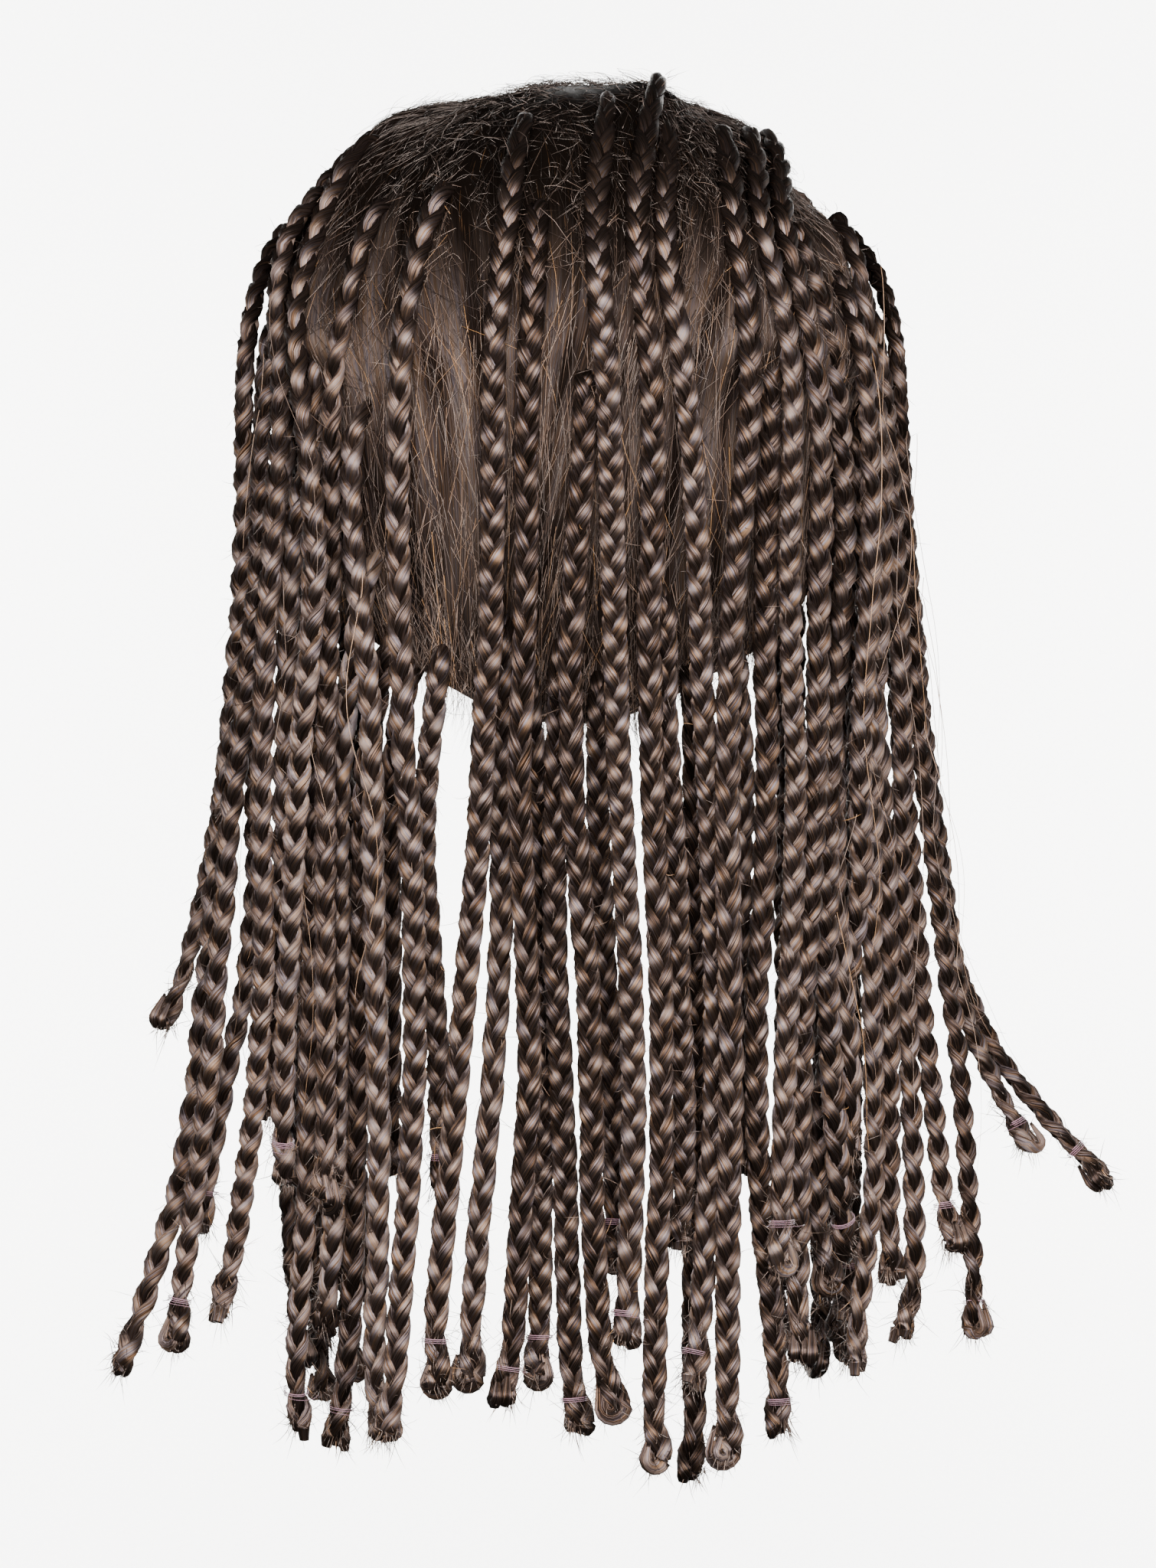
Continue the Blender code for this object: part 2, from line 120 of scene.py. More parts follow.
def node(tree, kind, inputs=None, stops=None, **settings):
    """A new node: inputs hold a value or a socket to link for each input, stops the colours of a ramp."""
    made = tree.nodes.new(kind)
    for name, value in settings.items():
        setattr(made, name, value)
    for name, value in (inputs or {}).items():
        if isinstance(value, bpy.types.NodeSocket):
            tree.links.new(value, made.inputs[name])
        else:
            made.inputs[name].default_value = value
    if stops:
        while len(made.color_ramp.elements) < len(stops):
            made.color_ramp.elements.new(1.0)
        for element, (place, colour) in zip(made.color_ramp.elements, stops):
            element.position = place
            element.color = linear(colour)
    return made


def material(name):
    """A new material with an empty tree and its output node."""
    made = bpy.data.materials.new(name)
    made.use_nodes = True
    made.node_tree.nodes.clear()
    output = made.node_tree.nodes.new("ShaderNodeOutputMaterial")
    return made, made.node_tree, output.inputs["Surface"]


def ramp(tree, value, stops):
    """The colours of a ramp at a value."""
    return node(tree, "ShaderNodeValToRGB", {"Fac": value}, stops=stops).outputs["Color"]


# %% [markdown]
# ## The backdrop
# The wig hangs in the air, in the form that it has when worn, before a wide pale backdrop of matt paper. It
# stands upright and has no floor, since a bright floor would lighten the hair from below.

# %% Hang the backdrop
BACKDROP_SIZE = 2.0
BACKDROP_BEHIND = 1.8

bpy.ops.mesh.primitive_plane_add(
    size=BACKDROP_SIZE,
    location=(0, BACKDROP_BEHIND, picture_middle.z),
    rotation=(math.radians(90), 0, 0),
)
backdrop = bpy.context.object
backdrop.name = "studio_backdrop"
bpy.ops.object.transform_apply(location=True, rotation=True, scale=True)

paper, tree, surface = material("matt_backdrop_paper")
grain = node(tree, "ShaderNodeTexNoise", {"Scale": 900.0, "Detail": 2.0})
tint = ramp(tree, grain.outputs["Fac"], [(0.3, "#f4f3f1"), (0.7, "#f8f7f5")])
coat = node(tree, "ShaderNodeBsdfPrincipled", {"Base Color": tint, "Roughness": 0.95})
tree.links.new(coat.outputs["BSDF"], surface)
backdrop.data.materials.append(paper)
print("backdrop", BACKDROP_SIZE, "m wide")

# %% [markdown]
# ## The light
# The photograph has soft light from the camera's side and nothing bright above or below, which makes the
# middle of every crossing strand shine and leaves its ends nearly black. A wide low lamp beside the camera
# does that, weak ones at the sides round the outline off, and two more are aimed at the backdrop.

# %% Light the studio
AIR_STRENGTH = 0.06
LIGHTS = (
    # name, place, width, height, watts
    ("key", (0.10, -2.1, 0.12), 2.8, 0.9, 370),
    ("left_fill", (-2.0, -0.9, 0.0), 0.8, 1.2, 7),
    ("right_fill", (2.0, -0.9, 0.0), 0.8, 1.2, 7),
    ("left_rim", (-2.0, 1.5, 0.2), 0.6, 1.0, 9),
    ("right_rim", (2.0, 1.5, 0.2), 0.6, 1.0, 9),
    ("backdrop_left", (-1.0, 0.9, -0.2), 1.0, 1.4, 110),
    ("backdrop_right", (1.0, 0.9, -0.2), 1.0, 1.4, 110),
)
AIM = {"backdrop_left": Vector((-0.6, 1.9, -0.2)), "backdrop_right": Vector((0.6, 1.9, -0.2))}

for name, place, width, height, watts in LIGHTS:
    aim = AIM.get(name, picture_middle)
    turn = (aim - Vector(place)).to_track_quat("-Z", "Y").to_euler()
    bpy.ops.object.light_add(type="AREA", location=place, rotation=turn)
    lamp = bpy.context.object
    lamp.name = f"light_{name}"
    lamp.data.shape = "RECTANGLE"
    lamp.data.size, lamp.data.size_y = width, height
    lamp.data.energy = watts

world = bpy.data.worlds.new("studio_air")
bpy.context.scene.world = world
world.use_nodes = True
world.node_tree.nodes["Background"].inputs["Color"].default_value = linear("#f6f4f2")
world.node_tree.nodes["Background"].inputs["Strength"].default_value = AIR_STRENGTH
print(len(LIGHTS), "lights")

# %% [markdown]
# ## Braiding fibre
# Long box braids are made of modacrylic fibre: smooth drawn filaments, dark brown, with a soft pinkish
# shine. Thousands of them lie side by side in a strand, so a light is mirrored sharply along the strand and
# widely across it. That is anisotropy, and it needs to know which way the filaments run: each mesh has a
# UV map called fibre, in millimetres, with U round the strand and V along it. A noise that is drawn out
# along V gives streaks, so one function makes such a noise at any size.

# %% Draw a noise out along the fibre
FILAMENT_STREAK = 0.32
STREAK_LENGTH = 14.0


def fibre_noise(tree, fibre, place, size, **inputs):
    """Noise from 0 to 1 in the fibre map, of a size across and along the filaments."""
    scale = (1 / size[0], 1 / size[1], 1.0)
    spot = {"Vector": fibre.outputs["UV"], "Location": (*place, 0.0), "Scale": scale}
    mapped = node(tree, "ShaderNodeMapping", spot)
    inputs = {"Vector": mapped.outputs["Vector"], "Scale": 1.0, **inputs}
    return node(tree, "ShaderNodeTexNoise", inputs, noise_dimensions="2D").outputs["Fac"]


def times_plus(tree, value, weight, more):
    """A value times a weight, plus more."""
    inputs = {0: value, 1: weight, 2: more}
    return node(tree, "ShaderNodeMath", inputs, operation="MULTIPLY_ADD").outputs["Value"]


print("fibre streaks", FILAMENT_STREAK, "mm wide and", STREAK_LENGTH, "mm long")

# %% [markdown]
# ## The look of the fibre
# Thin streaks and wider locks are added to the tone of each strand, and the sum picks the colour and how
# brightly it shines. A few streaks are golden. A second set of streaks turns the shine bluish or golden, as
# single filaments do. The same thin streaks give the relief, so what looks like a filament also stands up.

# %% Make the fibre material
FIBRE_ANISOTROPY = 0.90
FIBRE_IOR = 1.55
STREAK_RELIEF = 0.12 * MM
RELIEF_STRENGTH = 0.75
LOCK_PLACE = (31.7, 5.3)
HUE_PLACE = (7.1, 51.9)
HUE_STREAK = 1.25
GOLD_START, GOLD_FULL = 0.70, 0.80
SMOOTHER, ROUGHER = 0.06, 0.08


def fibre_material(name, colours, gold_share, roughness, level, streak_size, lock_size, lock_weight):
    """Combed or plaited filaments: streaks along them in colour and relief, and a shine across them."""
    made, tree, surface = material(name)
    fibre = node(tree, "ShaderNodeUVMap", uv_map="fibre")
    # The tone holds a random tone per strand, and on the combed layer the painted shade of the crown.
    tone = node(tree, "ShaderNodeAttribute", attribute_name="tone").outputs["Fac"]
    fine = fibre_noise(tree, fibre, (0.0, 0.0), streak_size, Detail=4.0, Roughness=0.65)
    lock = fibre_noise(tree, fibre, LOCK_PLACE, lock_size, Detail=1.0)
    hue_size = (HUE_STREAK * streak_size[0], streak_size[1])
    other = fibre_noise(tree, fibre, HUE_PLACE, hue_size, Detail=2.0)
    blend = times_plus(tree, fine, 1 - lock_weight, 0.0)
    blend = times_plus(tree, lock, lock_weight, blend)
    toned = times_plus(tree, tone, 1.0, blend)
    colour = ramp(tree, toned, [(0.30, colours[0]), (0.52, colours[1]), (0.75, colours[2])])
    shine = ramp(tree, toned, [(0.38, "#3c302b"), (0.49, "#b9a59c"), (0.59, "#ffefe8")])
    hue = ramp(tree, other, [(0.38, "#e2dff0"), (0.50, "#fff0e6"), (0.63, "#ffd6ac")])
    gold = node(
        tree,
        "ShaderNodeMapRange",
        {"Value": fine, "From Min": GOLD_START - gold_share, "From Max": GOLD_FULL - gold_share},
    )
    mixed = node(
        tree,
        "ShaderNodeMix",
        {0: gold.outputs["Result"], 6: colour, 7: linear("#3d2a1a")},
        data_type="RGBA",
    )
    tinted = node(
        tree, "ShaderNodeMix", {0: 1.0, 6: shine, 7: hue}, data_type="RGBA", blend_type="MULTIPLY"
    )
    rough = node(
        tree,
        "ShaderNodeMapRange",
        {
            "Value": fine,
            "From Min": 0.25,
            "From Max": 0.75,
            "To Min": roughness - SMOOTHER,
            "To Max": roughness + ROUGHER,
        },
    )
    relief = node(
        tree,
        "ShaderNodeBump",
        {"Height": fine, "Strength": RELIEF_STRENGTH, "Distance": STREAK_RELIEF},
    )
    across = node(tree, "ShaderNodeTangent", direction_type="UV_MAP", uv_map="fibre")
    shader = node(
        tree,
        "ShaderNodeBsdfPrincipled",
        {
            "Base Color": mixed.outputs[2],
            "Roughness": rough.outputs["Result"],
            "IOR": FIBRE_IOR,
            "Specular IOR Level": level,
            "Specular Tint": tinted.outputs[2],
            "Anisotropic": FIBRE_ANISOTROPY,
            "Normal": relief.outputs["Normal"],
            "Tangent": across.outputs["Tangent"],
        },
    )
    tree.links.new(shader.outputs["BSDF"], surface)
    return made


plait_fibre = fibre_material(
    "drawn_modacrylic_fibre",
    ("#040302", "#090605", "#120c09"),
    gold_share=0.02,
    roughness=0.53,
    level=1.0,
    streak_size=(FILAMENT_STREAK, STREAK_LENGTH),
    lock_size=(1.3, 28.0),
    lock_weight=0.35,
)
print("made", plait_fibre.name, "with", len(plait_fibre.node_tree.nodes), "nodes")

# %% [markdown]
# ## Reading a braid's route
# Each braid of the solid model is a closed bar of a few dozen triangles. To lay a plait where it lies, its
# middle line is needed. So the way from the tip is measured over the edges of the bar to each of its
# corners, and at every couple of millimetres of that way the middle of the edges there is one point of the
# line. This reads the route from the model, follows it round sharp bends and repeats no numbers.

# %% Measure each bar from its tip
ROUTE_STEP = 2 * MM
WELD = 0.01 * MM
FAR_AWAY = 9.0
SHORTEST_ROUTE = 8
BAR_LONGEST_WAY = 40
ROUTE_SMOOTHING = 12


def read_route(name):
    """The middle line of a braid from its root to its tip, as evenly spaced points."""
    mesh = frame["nodes"][name].data
    corners = np.array([mesh.vertices[v].co for face in mesh.polygons for v in face.vertices])
    _, first, place = np.unique(
        np.round(corners / WELD), axis=0, return_index=True, return_inverse=True
    )
    points = corners[first]
    edges = place.reshape(-1, 3)[:, [0, 1, 1, 2, 2, 0]].reshape(-1, 2)
    edges = np.concatenate([edges, edges[:, ::-1]])
    start, end = points[edges[:, 0]], points[edges[:, 1]]
    span = np.linalg.norm(end - start, axis=1)
    from_tip = np.full(len(points), FAR_AWAY)
    from_tip[points[:, 2].argmin()] = 0
    for _ in range(BAR_LONGEST_WAY):
        np.minimum.at(from_tip, edges[:, 1], from_tip[edges[:, 0]] + span)
    near, far = from_tip[edges[:, 0]], from_tip[edges[:, 1]]
    line = []
    for way in np.arange(0, from_tip.max(), ROUTE_STEP):
        cut = (near <= way) & (far > way)
        share = (way - near[cut]) / (far[cut] - near[cut])
        line.append((start[cut] + (end[cut] - start[cut]) * share[:, None]).mean(axis=0))
    line.append(points[from_tip.argmax()])
    line = np.array(line[::-1])
    for _ in range(ROUTE_SMOOTHING):
        line[1:-1] = (line[:-2] + 2 * line[1:-1] + line[2:]) / 4
    length = np.concatenate(([0], np.cumsum(np.linalg.norm(np.diff(line, axis=0), axis=1))))
    at = np.linspace(0, length[-1], max(SHORTEST_ROUTE, round(length[-1] / ROUTE_STEP)))
    return np.stack([np.interp(at, length, line[:, axis]) for axis in range(3)], axis=1)


routes = {name: read_route(name) for name in BRAID_NODES}
lengths = {name: float(np.linalg.norm(np.diff(line, axis=0), axis=1).sum()) for name, line in routes.items()}
print("braid lengths from", round(min(lengths.values()), 3), "to", round(max(lengths.values()), 3), "m")

# %% [markdown]
# ## The direction that a plait faces
# A braid is flatter than it is wide, and its flat side lies on the head. So over the head it faces straight
# out, and where it hangs free it keeps that way and turns a little to the back, as the solid bars do.

# %% Find the frame along a route
hair_low, hair_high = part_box("base_hair")
WIDEST_LEVEL = -88 * MM
HEAD_MIDDLE = np.array((0, 0, WIDEST_LEVEL))
HEAD_SIZE = np.array(
    ((hair_high.x - hair_low.x) / 2, (hair_high.y - hair_low.y) / 2, hair_high.z - WIDEST_LEVEL)
)
TURN_SPAN = 60 * MM
TURN_TO_BACK = 0.8


def unit(vectors):
    return vectors / np.maximum(np.linalg.norm(vectors, axis=-1, keepdims=True), 1e-12)


def route_frame(line):
    """The directions along a route, across its plait and out of it, at each point."""
    along = unit(np.gradient(line, axis=0))
    off = line - HEAD_MIDDLE
    off[:, 2] = np.maximum(off[:, 2], 0)
    out = unit(off / HEAD_SIZE**2)
    at_back = np.clip((TURN_SPAN / 2 - line[:, 1]) / TURN_SPAN, 0, 1)
    hanging = np.clip((HEAD_MIDDLE[2] - line[:, 2]) / TURN_SPAN, 0, 1)
    out[:, 1] -= TURN_TO_BACK * at_back * hanging
    across = unit(np.cross(along, out))
    return along, across, np.cross(across, along)


print("head half sizes", [round(float(size), 4) for size in HEAD_SIZE], "m")

# %% [markdown]
# ## Three strands that cross
# Seen from the front, each strand of a plait swings from side to side, and at twice that rate it moves
# from front to back, so that it comes over the middle from both sides. Three strands do this a third of a
# turn apart. A strand is a flat bundle, so its section is an ellipse, and its flat side turns with the
# swing. Blender's own curve bevel can't turn a section like this along a bent route, so the strands are
# computed as rings of points and joined by faces.

# %% Set the sizes of a plait
TURN_LENGTH = 32 * MM
SIDE_SWING = 2.25 * MM
DEPTH_SWING = 1.35 * MM
STRAND_HALF_WIDTH = 2.05 * MM
STRAND_HALF_DEPTH = 1.55 * MM
STRAND_SIDES = 8
STRAND_STEP = 2.4 * MM
SMOOTH_START = 44 * MM
ROOT_SINK = 3.0 * MM
ROOT_SINK_LENGTH = 20 * MM
HIGH_ROOT_DROP = 8.0 * MM
OVER_CROWN = -12 * MM
FOLD_REACH = 2.0 * MM
FOLD_TIGHTEST = 0.8 * MM
FOLD_BACK = 7 * MM
FOLD_POINTS = 11
BLUNT_SHARE = 0.2
SIDE_FOLD_SHARE = 0.35
STRAND_ROUND = 12.0
SEED = 7

random = np.random.default_rng(SEED)


def smooth_step(share):
    share = np.clip(share, 0, 1)
    return share * share * (3 - 2 * share)


def strand_rings(centres, flat_way, half_width, half_depth):
    """Rings of points round a line, where flat_way is the way that the section's flat side faces."""
    along = unit(np.gradient(centres, axis=0))
    wide = unit(np.cross(along, flat_way))
    deep = np.cross(wide, along)
    turn = 2 * math.pi * np.arange(STRAND_SIDES) / STRAND_SIDES
    return (
        centres[:, None]
        + wide[:, None] * (half_width[:, None] * np.cos(turn))[..., None]
        + deep[:, None] * (half_depth[:, None] * np.sin(turn))[..., None]
    )


def ring_faces(rings, sides, start):
    """Quads between the rings of a strand, and a face that closes each end."""
    ring, side = np.meshgrid(np.arange(rings - 1), np.arange(sides), indexing="ij")
    after = (side + 1) % sides
    quads = np.stack(
        [ring * sides + side, ring * sides + after, (ring + 1) * sides + after, (ring + 1) * sides + side],
        axis=-1,
    ).reshape(-1, 4)
    first = list(range(start, start + sides))
    last = [place + (rings - 1) * sides for place in first]
    return (quads + start).tolist() + [first[::-1], last]


def ring_uvs(rings, sides, round_length, along):
    """The fibre map of those faces, corner by corner, in millimetres: round the strand, then along it."""
    ring, side = np.meshgrid(np.arange(rings - 1), np.arange(sides), indexing="ij")
    u = np.stack([side, side + 1, side + 1, side], axis=-1) * round_length / sides
    v = along[np.stack([ring, ring, ring + 1, ring + 1], axis=-1)]
    quads = np.stack([u, v], axis=-1).reshape(-1, 2)
    caps = np.array([(step * 0.5, along[place]) for place in (0, -1) for step in range(sides)])
    return np.concatenate([quads, caps])


def make_piece(name, points, faces, uvs, tone, finish):
    """A smooth mesh object that rides on the wig's one body."""
    mesh = bpy.data.meshes.new(name)
    mesh.from_pydata(points, [], faces)
    layer = mesh.uv_layers.new(name="fibre")
    layer.data.foreach_set("uv", np.asarray(uvs, np.float32).ravel())
    mesh.attributes.new("tone", "FLOAT", "POINT").data.foreach_set("value", np.asarray(tone, np.float32))
    mesh.shade_smooth()
    mesh.materials.append(finish)
    piece = bpy.data.objects.new(name, mesh)
    bpy.context.scene.collection.objects.link(piece)
    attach(piece, "root")
    return piece


print("a plait is about", round((SIDE_SWING + STRAND_HALF_WIDTH) * 2 / MM, 1), "mm wide")

# %% [markdown]
# ## Root, neck and folded end
# At its root a braid is still a smooth bundle, so its strands turn slowly there, lie close together and sink
# into the combed hair. A braid rooted above the widest level of the head starts lower, and stays smooth for
# longer. Near its end it is bound, which makes a neck, and then a small bulb. There most braids are folded
# back, and the others are cut blunt. Each draws its own turns, fold and tone, as no two are alike by hand.

# %% Set the sizes of its two ends
SLOW_START, SLOW_EASE = 2.5, 1.5
START_SIZE, SIZE_GROWTH = 0.82, 0.18
START_SIDE, SIDE_GROWTH = 0.45, 0.55
START_DEPTH, DEPTH_GROWTH = 0.35, 0.65
LOBE_FULLNESS = 0.07
SWERVE_SHARE = 0.6
SWERVE_START, SWERVE_LENGTH = 16 * MM, 12 * MM
NECK_PLACE, NECK_LENGTH, NECK_DEPTH = 15 * MM, 4 * MM, 0.16
BULB_START, BULB_LENGTH, BULB_GROWTH = 12 * MM, 6 * MM, 0.12
FOLD_CLOSING = 0.25
BLUNT_SPREAD = 18
BLUNT_TIP, FOLDED_TIP, TIP_CURVE = 0.65, 0.2, 0.8
print("neck", NECK_PLACE / MM, "mm before the tip")


# %% Plait one braid
def at_length(line, places):
    """Values of a table along a route at the given distances, for points or directions."""
    steps = np.concatenate(([0], np.cumsum(np.linalg.norm(np.diff(line[0], axis=0), axis=1))))
    return [np.stack([np.interp(places, steps, v[:, k]) for k in range(3)], axis=1) for v in line]


def plait(name, rooted_high):
    """The three strands of one braid, as points, faces, fibre map and tone."""
    line = routes[name]
    total = lengths[name]
    along, across, out = route_frame(line)
    girth = random.uniform(0.95, 1.05)
    turn_length = TURN_LENGTH * random.uniform(0.94, 1.07)
    phase = random.uniform(0, 2 * math.pi)
    blunt = random.uniform() < BLUNT_SHARE
    fold_side = random.choice((-1, 1))
    fold_lean = random.normal(0, 0.3) if random.uniform() < SIDE_FOLD_SHARE else random.choice((-3, 3))
    ends.append((name, blunt, fold_side, fold_lean))
    places = np.linspace(0, total - FOLD_REACH, round(total / STRAND_STEP))
    swerving = smooth_step((places - total + SWERVE_START) / SWERVE_LENGTH)
    swerve = -SWERVE_SHARE * fold_side * FOLD_REACH * swerving
    wander = sum(
        random.uniform(0.02, 0.06) * np.sin(places / random.uniform(30 * MM, 90 * MM) + random.uniform(0, 6))
        for _ in range(3)
    )
    over_crown = ROUTE_STEP * np.count_nonzero(line[:, 2] > OVER_CROWN)
    start = SMOOTH_START / 2 + over_crown if rooted_high else SMOOTH_START / 3
    root_ease = 1 - smooth_step(places / ROOT_SINK_LENGTH)
    drop = HIGH_ROOT_DROP * root_ease if rooted_high else np.zeros_like(places)
    opened = smooth_step(places / start)
    slow_start = SLOW_START - SLOW_EASE * opened
    pace = (1 + wander) / (turn_length * slow_start)
    theta = phase + 2 * math.pi * np.concatenate(([0], np.cumsum(pace[1:] * np.diff(places))))
    neck = 1 - NECK_DEPTH * np.exp(-(((total - places - NECK_PLACE) / NECK_LENGTH) ** 2))
    bulb = 1 + BULB_GROWTH * smooth_step((places - total + BULB_START) / BULB_LENGTH)
    size = girth * (START_SIZE + SIZE_GROWTH * opened) * neck * bulb
    points, faces, uvs, tones = [], [], [], []
    braid_tone = random.normal(0, 0.03)
    for strand in range(3):
        angle = theta + 2 * math.pi * strand / 3
        side = SIDE_SWING * size * (START_SIDE + SIDE_GROWTH * opened) * np.sin(angle)
        depth = -DEPTH_SWING * size * (START_DEPTH + DEPTH_GROWTH * opened) * np.sin(2 * angle)
        depth -= ROOT_SINK * root_ease
        roll = -math.pi / 2 * np.cos(angle)
        lobe = 1 + LOBE_FULLNESS * np.sin(2 * angle - math.pi)
        centre, wide, front = at_length([line, across, out], places)
        centres = centre + wide * (side + swerve)[:, None] + front * depth[:, None]
        centres[:, 2] -= drop
        flat_way = wide * np.cos(roll)[:, None] + front * np.sin(roll)[:, None]
        half_width = STRAND_HALF_WIDTH * size * lobe
        half_depth = STRAND_HALF_DEPTH * size * lobe
        fold_way = unit(wide[-1] * fold_side + front[-1] * (fold_lean + random.normal(0, 0.15)))
        radius = max(FOLD_TIGHTEST, FOLD_REACH - fold_side * side[-1] / (1 + abs(fold_lean)))
        down = unit(centre[-1] - centre[-4])
        if blunt:
            fold = np.linspace(0, random.uniform(2, 6) * MM, FOLD_POINTS + 1)[1:]
            spread = unit(centres[-1] - centre[-1] + random.normal(0, 0.4 * MM, 3))
            folded = centres[-1] + down * fold[:, None] + spread * (fold**2)[:, None] * BLUNT_SPREAD
        else:
            fold_length = math.pi * radius + FOLD_BACK * random.uniform(0.6, 1.2)
            fold = np.linspace(0, fold_length, FOLD_POINTS + 1)[1:]
            bend = np.minimum(fold / radius, math.pi)
            back = np.maximum(fold - math.pi * radius, 0)
            folded = (
                centres[-1]
                + down * (radius * np.sin(bend) - back)[:, None]
                + fold_way * (radius * (1 - np.cos(bend)) - FOLD_CLOSING * back)[:, None]
            )
        centres = np.concatenate([centres, folded])
        flat_way = np.concatenate([flat_way, np.repeat(front[-1:], FOLD_POINTS, axis=0)])
        shrink = np.linspace(1.0, BLUNT_TIP if blunt else FOLDED_TIP, FOLD_POINTS) ** TIP_CURVE
        half_width = np.concatenate([half_width, half_width[-1] * shrink])
        half_depth = np.concatenate([half_depth, half_depth[-1] * shrink])
        rings = strand_rings(centres, flat_way, half_width, half_depth)
        start_index = sum(len(part) for part in points)
        points.append(rings.reshape(-1, 3))
        faces += ring_faces(len(rings), STRAND_SIDES, start_index)
        run = np.concatenate(([0], np.cumsum(np.linalg.norm(np.diff(centres, axis=0), axis=1)))) / MM
        uvs.append(ring_uvs(len(rings), STRAND_SIDES, STRAND_ROUND, run + random.uniform(0, 900)))
        tones.append(np.full(len(rings) * STRAND_SIDES, braid_tone + random.normal(0, 0.02)))
    return np.concatenate(points), faces, np.concatenate(uvs), np.concatenate(tones)


# %% [markdown]
# ## A plait for every bar
# Every bar of the solid model is replaced by its plait, one by one, so that each braid stays a part of its
# own that can be found by its name.

# %% Plait them all
ends, plaits = [], {}
for name in BRAID_NODES:
    piece_name = name.replace("braid_", "plait_")
    rooted_high = routes[name][0, 2] > HEAD_MIDDLE[2]
    points, faces, uvs, tone = plait(name, rooted_high)
    piece = make_piece(piece_name, points, faces, uvs, tone, plait_fibre)
    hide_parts(name)
    plaits[name] = piece
print("plaits", len(plaits), "with", sum(len(p.data.polygons) for p in plaits.values()), "faces")

# %% [markdown]
# ## The combed hair between the braids
# Over the net lies hair that is combed from the crown down to the hair line. It is one soft layer, so it
# starts as a sphere that is sized to the head, cut off along the hair line and given a wall. Its points are
# then moved in and out along the way that the hair is combed, which leaves the long low ridges of a comb.

# %% Shape the layer
HAIR_WALL = 4 * MM
HAIR_SEGMENTS = 216
HAIR_RINGS = 120
SINK = 0.6 * MM
RIM_MIDDLE = -128 * MM
RIM_SLOPE = 62 / 97
NAPE_BELOW_MIDDLE = 159 * MM
JUST_BELOW = -0.1 * MM

half_breadth = (hair_high.x - hair_low.x) / 2 - SINK
half_length = -hair_low.y - SINK
crown_rise = hair_high.z - HEAD_MIDDLE[2] - SINK

bpy.ops.object.select_all(action="DESELECT")
bpy.ops.mesh.primitive_uv_sphere_add(
    segments=HAIR_SEGMENTS, ring_count=HAIR_RINGS, radius=1.0, location=(0, 0, 0)
)
combed = bpy.context.object
combed.name = "combed_hair"
bpy.ops.object.mode_set(mode="EDIT")
bpy.ops.mesh.select_all(action="SELECT")
bpy.ops.transform.resize(value=(half_breadth, half_length, crown_rise))
bpy.ops.mesh.select_mode(type="VERT")
bpy.ops.mesh.select_all(action="DESELECT")
bpy.ops.object.mode_set(mode="OBJECT")
for vertex in combed.data.vertices:
    vertex.select = vertex.co.z < JUST_BELOW
bpy.ops.object.mode_set(mode="EDIT")
bpy.ops.transform.resize(value=(1, 1, NAPE_BELOW_MIDDLE / crown_rise), center_override=(0, 0, 0))
bpy.ops.mesh.select_all(action="SELECT")
bpy.ops.transform.translate(value=(0, 0, HEAD_MIDDLE[2]))
bpy.ops.mesh.bisect(
    plane_co=(0, 0, RIM_MIDDLE), plane_no=(0, RIM_SLOPE, -1), clear_outer=True, clear_inner=False
)
bpy.ops.object.mode_set(mode="OBJECT")
print("combed layer", len(combed.data.polygons), "faces before its wall")

# %% [markdown]
# ## The way that the hair is combed
# One formula says where a hair that leaves the crown at some angle runs: down over the head, with slow
# bends. The same formula gives the fibre map of the layer and the run of every loose hair on it, so that
# they all lie the same way.


# %% Write the comb's formula
def comb_bend(start, fall):
    """How far a hair has turned aside from the azimuth where it starts, at an angle down from the crown."""
    return (
        0.16 * np.sin(1.7 * fall + 2.3 * np.sin(start))
        + 0.05 * np.sin(4 * start + 2 * fall)
        + 0.02 * np.sin(9 * start - 3 * fall)
    )


def head_surface(azimuth, fall, lift):
    """The points at an azimuth round from the back and an angle down from the crown, lift off the layer."""
    tall = np.where(fall > math.pi / 2, NAPE_BELOW_MIDDLE, crown_rise) + lift
    return np.stack(
        [
            (half_breadth + lift) * np.sin(fall) * np.sin(azimuth),
            -(half_length + lift) * np.sin(fall) * np.cos(azimuth),
            HEAD_MIDDLE[2] + tall * np.cos(fall),
        ],
        axis=-1,
    )


def comb_place(points):
    """Where points lie in the combed hair: the azimuth where their hair starts, and how far down it is."""
    z = points[:, 2] - HEAD_MIDDLE[2]
    z = z / np.where(z > 0, crown_rise, NAPE_BELOW_MIDDLE)
    x, y = points[:, 0] / half_breadth, points[:, 1] / half_length
    azimuth, fall = np.arctan2(x, -y), np.arctan2(np.hypot(x, y), z)
    start = azimuth
    for _ in range(4):
        start = azimuth - comb_bend(start, fall)
    return start, fall


print("comb's turn halfway down the back", round(float(comb_bend(0.0, math.pi / 4)), 3), "radians")

# %% [markdown]
# ## How full the hair is
# The hair isn't pressed flat under the braids. It is drawn up into each one at its root, and stands up to
# it where the braid leaves the head. So wherever a braid passes above the layer, the layer rises to it. It
# is drawn up over the two sides of the crown as well, which makes the top of the hair broader and flatter.

# %% Find how far the hair rises to the braids
FULLEST = 11 * MM
FULL_REACH = 10 * MM
FULL_ABOVE = -72 * MM
UNDER_BRAID = 2.4 * MM
SHOULDER_RISE = 8 * MM
SHOULDER_ACROSS = 0.55
SHOULDER_REACH = 0.22
SHOULDER_BACK, SHOULDER_FADE = 0.15, 0.3
SHOULDER_UP, SHOULDER_UP_FADE = 0.45, 0.3
POINTS_AT_ONCE = 4000

